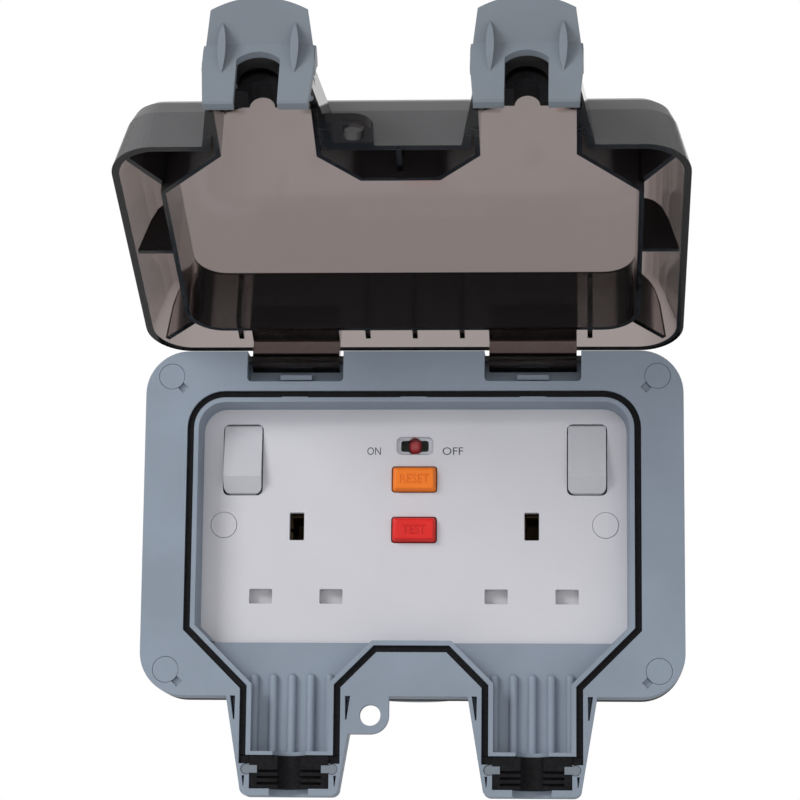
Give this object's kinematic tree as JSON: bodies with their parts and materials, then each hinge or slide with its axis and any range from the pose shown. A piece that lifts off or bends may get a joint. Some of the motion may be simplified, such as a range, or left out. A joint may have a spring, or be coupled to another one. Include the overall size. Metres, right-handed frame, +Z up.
{
  "type": "rcd wall socket",
  "caption": "Grey weatherproof twin wall socket with residual current switch, rockers and a smoked hinged lid standing open; clip latches at the cable legs.",
  "frame": {"origin": "centre of the flat rear mounting face of the back box", "axes": "+Z up, +X to the right seen from the front, the socket faces -Y and the wall is on the +Y side"},
  "size_m": [0.1694, 0.1801, 0.2157],
  "materials": {
    "housing_grey": "fine spark-eroded texture, mid grey",
    "box_grey": "fine texture, mid grey",
    "clip_grey": "smooth satin grey",
    "rubber_black": "matt black rubber",
    "plate_white": "smooth white moulding",
    "cover_smoked": "smoke-tinted translucent moulding",
    "button_orange": "smooth orange",
    "button_red": "smooth red",
    "flag_red": "smooth red",
    "lens_clear": "clear polished window",
    "case_cream": "off-white moulding",
    "carrier_black": "black moulding",
    "shutter_grey": "light grey moulding",
    "board_green": "green board",
    "steel": "zinc plated steel",
    "brass": "stamped brass",
    "copper": "enamelled copper winding"
  },
  "bodies": {
    "base": {"back_box": "box_grey", "entry_plugs": "box_grey", "box_gasket": "rubber_black", "front_frame": "housing_grey", "frame_gasket": "rubber_black", "frame_screws": "steel", "corner_caps": "housing_grey", "cable_seal_left": "rubber_black", "cable_seal_right": "rubber_black", "seal_holder_left": "clip_grey", "seal_holder_right": "clip_grey", "hinge_pins": "carrier_black", "socket_plate": "plate_white", "plate_screws": "brass", "plate_screw_caps": "plate_white", "mechanism_case": "case_cream", "earth_contacts": "brass", "live_contacts": "brass", "neutral_contacts": "brass", "terminal_blocks": "brass", "terminal_screws": "steel", "rocker_springs": "steel", "switch_blades": "brass", "reset_spring": "steel", "test_spring": "steel", "window_lens": "lens_clear", "fixed_contacts": "brass", "trip_coil": "copper", "sensing_coil": "copper", "circuit_board": "board_green", "board_parts": "carrier_black", "shutter_spring_left": "steel", "shutter_spring_right": "steel"},
    "lid": {"lid": "cover_smoked", "lid_seal_left": "rubber_black", "lid_seal_right": "rubber_black", "lid_seal_holder_left": "clip_grey", "lid_seal_holder_right": "clip_grey", "latch_pin_left": "steel", "latch_pin_right": "steel"},
    "latch_left": {"latch_left": "clip_grey"},
    "latch_right": {"latch_right": "clip_grey"},
    "rocker_left": {"rocker_left": "plate_white"},
    "rocker_right": {"rocker_right": "plate_white"},
    "reset_button": {"reset_button": "button_orange"},
    "test_button": {"test_button": "button_red"},
    "carriage": {"contact_carriage": "carrier_black", "indicator_flag": "flag_red", "moving_contacts": "brass"},
    "plunger": {"trip_plunger": "steel"},
    "shutter_left": {"shutter_left": "shutter_grey"},
    "shutter_right": {"shutter_right": "shutter_grey"}
  },
  "joints": [
    {"name": "lid_hinge", "type": "hinge", "parent": "base", "child": "lid", "pos_m": [0, -0.0454, 0.0526], "axis": [1, 0, 0], "range_deg": [0, 111]},
    {"name": "latch_hinge_left", "type": "hinge", "parent": "lid", "child": "latch_left", "pos_m": [-0.0375, -0.16342, 0.11654], "axis": [1, 0, 0], "range_deg": [-95, 4.5]},
    {"name": "latch_hinge_right", "type": "hinge", "parent": "lid", "child": "latch_right", "pos_m": [0.0375, -0.16342, 0.11654], "axis": [1, 0, 0], "range_deg": [-95, 4.5]},
    {"name": "rocker_hinge_left", "type": "hinge", "parent": "base", "child": "rocker_left", "pos_m": [-0.0545, -0.036, 0.0212], "axis": [1, 0, 0], "range_deg": [0, 12]},
    {"name": "rocker_hinge_right", "type": "hinge", "parent": "base", "child": "rocker_right", "pos_m": [0.0545, -0.036, 0.0212], "axis": [1, 0, 0], "range_deg": [0, 12]},
    {"name": "reset_press", "type": "slide", "parent": "base", "child": "reset_button", "axis": [0, 1, 0], "range_m": [0, 0.0016], "stiffness_N_per_m": 300, "springref_m": -0.003, "deforming": ["reset_spring"]},
    {"name": "test_press", "type": "slide", "parent": "base", "child": "test_button", "axis": [0, 1, 0], "range_m": [0, 0.0016], "stiffness_N_per_m": 300, "springref_m": -0.003, "deforming": ["test_spring"]},
    {"name": "carriage_drop", "type": "slide", "parent": "base", "child": "carriage", "axis": [0, 0, -1], "range_m": [0, 0.003]},
    {"name": "plunger_slide", "type": "slide", "parent": "base", "child": "plunger", "axis": [1, 0, 0], "range_m": [0, 0.002], "stiffness_N_per_m": 100, "springref_m": -0.001},
    {"name": "shutter_slide_left", "type": "slide", "parent": "base", "child": "shutter_left", "axis": [0, 0, 1], "range_m": [0, 0.0065], "stiffness_N_per_m": 60, "springref_m": -0.004, "deforming": ["shutter_spring_left"]},
    {"name": "shutter_slide_right", "type": "slide", "parent": "base", "child": "shutter_right", "axis": [0, 0, 1], "range_m": [0, 0.0065], "stiffness_N_per_m": 60, "springref_m": -0.004, "deforming": ["shutter_spring_right"]}
  ]
}
